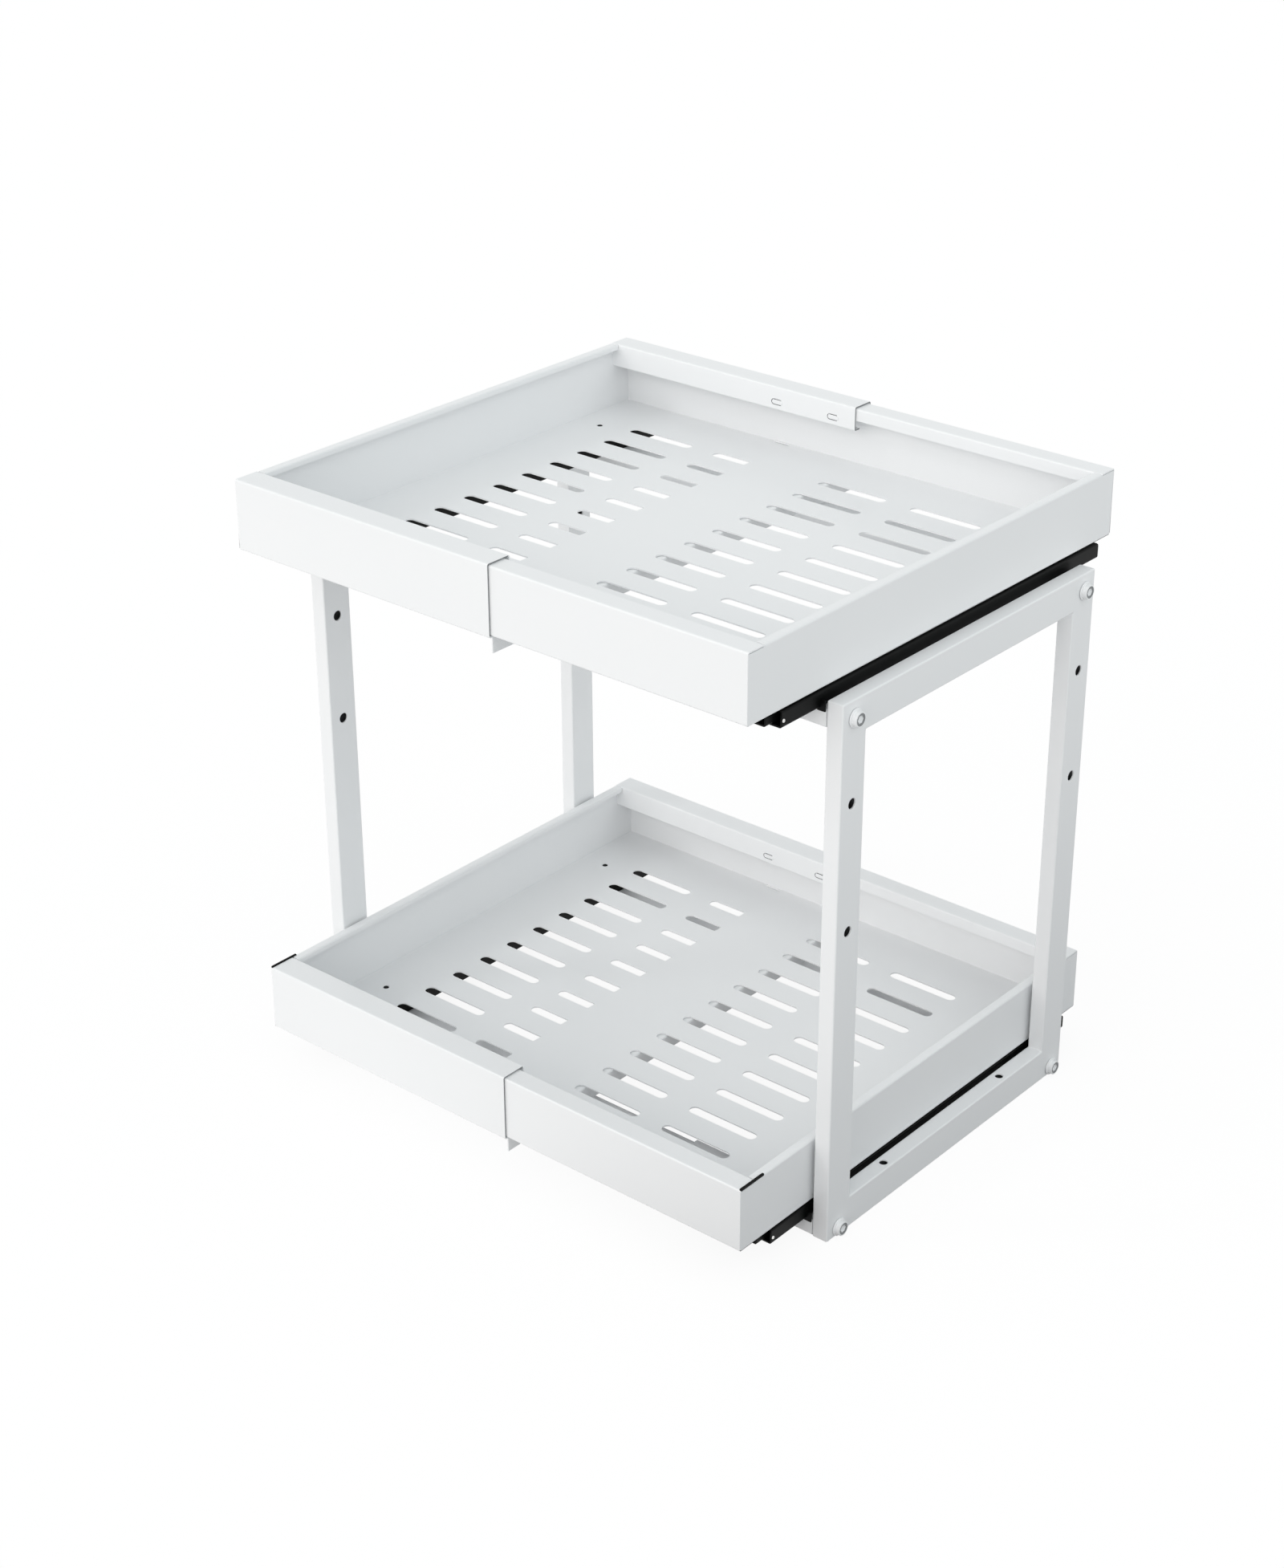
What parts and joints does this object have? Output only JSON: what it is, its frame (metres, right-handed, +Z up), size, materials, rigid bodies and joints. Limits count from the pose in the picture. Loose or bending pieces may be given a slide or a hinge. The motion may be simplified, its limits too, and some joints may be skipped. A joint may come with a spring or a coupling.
{
  "type": "cabinet organizer",
  "caption": "Two-tier pull-out organizer for a cabinet: sheet-metal trays of adjustable width on ball-bearing slides between welded tube side frames.",
  "frame": {"origin": "on the floor, under the middle of the trays", "axes": "+X to the right as seen from the front, +Y to the back, +Z up; the trays pull out along -Y"},
  "size_m": [0.48, 0.405, 0.4581],
  "materials": {
    "white_powder_coat": "satin white powder coat",
    "black_slide_steel": "satin black coated steel",
    "bright_bearing_steel": "bright steel"
  },
  "bodies": {
    "right_side": {"right_top_rail": "white_powder_coat", "right_bottom_rail": "white_powder_coat", "right_front_post": "white_powder_coat", "right_back_post": "white_powder_coat", "upper_right_front_bolt": "white_powder_coat", "upper_front_bar_right": "white_powder_coat", "upper_front_bar_insert": "white_powder_coat", "upper_right_back_bolt": "white_powder_coat", "upper_back_bar_right": "white_powder_coat", "upper_back_bar_insert": "white_powder_coat", "upper_right_slide_base": "black_slide_steel", "lower_right_front_bolt": "white_powder_coat", "lower_front_bar_right": "white_powder_coat", "lower_front_bar_insert": "white_powder_coat", "lower_right_back_bolt": "white_powder_coat", "lower_back_bar_right": "white_powder_coat", "lower_back_bar_insert": "white_powder_coat", "lower_right_slide_base": "black_slide_steel"},
    "left_side": {"left_top_rail": "white_powder_coat", "left_bottom_rail": "white_powder_coat", "left_front_post": "white_powder_coat", "left_back_post": "white_powder_coat", "upper_left_front_bolt": "white_powder_coat", "upper_front_bar_left": "white_powder_coat", "upper_left_back_bolt": "white_powder_coat", "upper_back_bar_left": "white_powder_coat", "upper_left_slide_base": "black_slide_steel", "lower_left_front_bolt": "white_powder_coat", "lower_front_bar_left": "white_powder_coat", "lower_left_back_bolt": "white_powder_coat", "lower_back_bar_left": "white_powder_coat", "lower_left_slide_base": "black_slide_steel"},
    "upper_right_outer_cage_body": {"upper_right_outer_cage": "bright_bearing_steel"},
    "upper_right_middle_body": {"upper_right_slide_middle": "black_slide_steel"},
    "upper_right_inner_cage_body": {"upper_right_inner_cage": "bright_bearing_steel"},
    "upper_right_tray_body": {"upper_tray_right": "white_powder_coat", "upper_right_slide_runner": "black_slide_steel", "upper_right_front_tray_screw": "black_slide_steel", "upper_right_back_tray_screw": "black_slide_steel"},
    "upper_left_outer_cage_body": {"upper_left_outer_cage": "bright_bearing_steel"},
    "upper_left_middle_body": {"upper_left_slide_middle": "black_slide_steel"},
    "upper_left_inner_cage_body": {"upper_left_inner_cage": "bright_bearing_steel"},
    "upper_left_tray_body": {"upper_tray_left": "white_powder_coat", "upper_left_slide_runner": "black_slide_steel", "upper_left_front_tray_screw": "black_slide_steel", "upper_left_back_tray_screw": "black_slide_steel"},
    "lower_right_outer_cage_body": {"lower_right_outer_cage": "bright_bearing_steel"},
    "lower_right_middle_body": {"lower_right_slide_middle": "black_slide_steel"},
    "lower_right_inner_cage_body": {"lower_right_inner_cage": "bright_bearing_steel"},
    "lower_right_tray_body": {"lower_tray_right": "white_powder_coat", "lower_right_slide_runner": "black_slide_steel", "lower_right_front_tray_screw": "black_slide_steel", "lower_right_back_tray_screw": "black_slide_steel"},
    "lower_left_outer_cage_body": {"lower_left_outer_cage": "bright_bearing_steel"},
    "lower_left_middle_body": {"lower_left_slide_middle": "black_slide_steel"},
    "lower_left_inner_cage_body": {"lower_left_inner_cage": "bright_bearing_steel"},
    "lower_left_tray_body": {"lower_tray_left": "white_powder_coat", "lower_left_slide_runner": "black_slide_steel", "lower_left_front_tray_screw": "black_slide_steel", "lower_left_back_tray_screw": "black_slide_steel"}
  },
  "joints": [
    {"name": "width_adjust", "type": "slide", "parent": "right_side", "child": "left_side", "axis": [-1, 0, 0], "range_m": [-0.12, 0.04]},
    {"name": "upper_right_outer_cage_slide", "type": "slide", "parent": "right_side", "child": "upper_right_outer_cage_body", "axis": [0, -1, 0], "range_m": [0, 0.0875]},
    {"name": "upper_right_middle_slide", "type": "slide", "parent": "right_side", "child": "upper_right_middle_body", "axis": [0, -1, 0], "range_m": [0, 0.175]},
    {"name": "upper_right_inner_cage_slide", "type": "slide", "parent": "right_side", "child": "upper_right_inner_cage_body", "axis": [0, -1, 0], "range_m": [0, 0.2625]},
    {"name": "upper_pull", "type": "slide", "parent": "right_side", "child": "upper_right_tray_body", "axis": [0, -1, 0], "range_m": [0, 0.35]},
    {"name": "upper_left_outer_cage_slide", "type": "slide", "parent": "left_side", "child": "upper_left_outer_cage_body", "axis": [0, -1, 0], "range_m": [0, 0.0875]},
    {"name": "upper_left_middle_slide", "type": "slide", "parent": "left_side", "child": "upper_left_middle_body", "axis": [0, -1, 0], "range_m": [0, 0.175]},
    {"name": "upper_left_inner_cage_slide", "type": "slide", "parent": "left_side", "child": "upper_left_inner_cage_body", "axis": [0, -1, 0], "range_m": [0, 0.2625]},
    {"name": "upper_left_tray_slide", "type": "slide", "parent": "left_side", "child": "upper_left_tray_body", "axis": [0, -1, 0], "range_m": [0, 0.35]},
    {"name": "lower_right_outer_cage_slide", "type": "slide", "parent": "right_side", "child": "lower_right_outer_cage_body", "axis": [0, -1, 0], "range_m": [0, 0.0875]},
    {"name": "lower_right_middle_slide", "type": "slide", "parent": "right_side", "child": "lower_right_middle_body", "axis": [0, -1, 0], "range_m": [0, 0.175]},
    {"name": "lower_right_inner_cage_slide", "type": "slide", "parent": "right_side", "child": "lower_right_inner_cage_body", "axis": [0, -1, 0], "range_m": [0, 0.2625]},
    {"name": "lower_pull", "type": "slide", "parent": "right_side", "child": "lower_right_tray_body", "axis": [0, -1, 0], "range_m": [0, 0.35]},
    {"name": "lower_left_outer_cage_slide", "type": "slide", "parent": "left_side", "child": "lower_left_outer_cage_body", "axis": [0, -1, 0], "range_m": [0, 0.0875]},
    {"name": "lower_left_middle_slide", "type": "slide", "parent": "left_side", "child": "lower_left_middle_body", "axis": [0, -1, 0], "range_m": [0, 0.175]},
    {"name": "lower_left_inner_cage_slide", "type": "slide", "parent": "left_side", "child": "lower_left_inner_cage_body", "axis": [0, -1, 0], "range_m": [0, 0.2625]},
    {"name": "lower_left_tray_slide", "type": "slide", "parent": "left_side", "child": "lower_left_tray_body", "axis": [0, -1, 0], "range_m": [0, 0.35]}
  ],
  "couplings": [
    {"joint": "upper_right_outer_cage_slide", "follows": "upper_pull", "ratio": 0.25},
    {"joint": "upper_right_middle_slide", "follows": "upper_pull", "ratio": 0.5},
    {"joint": "upper_right_inner_cage_slide", "follows": "upper_pull", "ratio": 0.75},
    {"joint": "upper_left_outer_cage_slide", "follows": "upper_pull", "ratio": 0.25},
    {"joint": "upper_left_middle_slide", "follows": "upper_pull", "ratio": 0.5},
    {"joint": "upper_left_inner_cage_slide", "follows": "upper_pull", "ratio": 0.75},
    {"joint": "upper_left_tray_slide", "follows": "upper_pull", "ratio": 1},
    {"joint": "lower_right_outer_cage_slide", "follows": "lower_pull", "ratio": 0.25},
    {"joint": "lower_right_middle_slide", "follows": "lower_pull", "ratio": 0.5},
    {"joint": "lower_right_inner_cage_slide", "follows": "lower_pull", "ratio": 0.75},
    {"joint": "lower_left_outer_cage_slide", "follows": "lower_pull", "ratio": 0.25},
    {"joint": "lower_left_middle_slide", "follows": "lower_pull", "ratio": 0.5},
    {"joint": "lower_left_inner_cage_slide", "follows": "lower_pull", "ratio": 0.75},
    {"joint": "lower_left_tray_slide", "follows": "lower_pull", "ratio": 1}
  ]
}
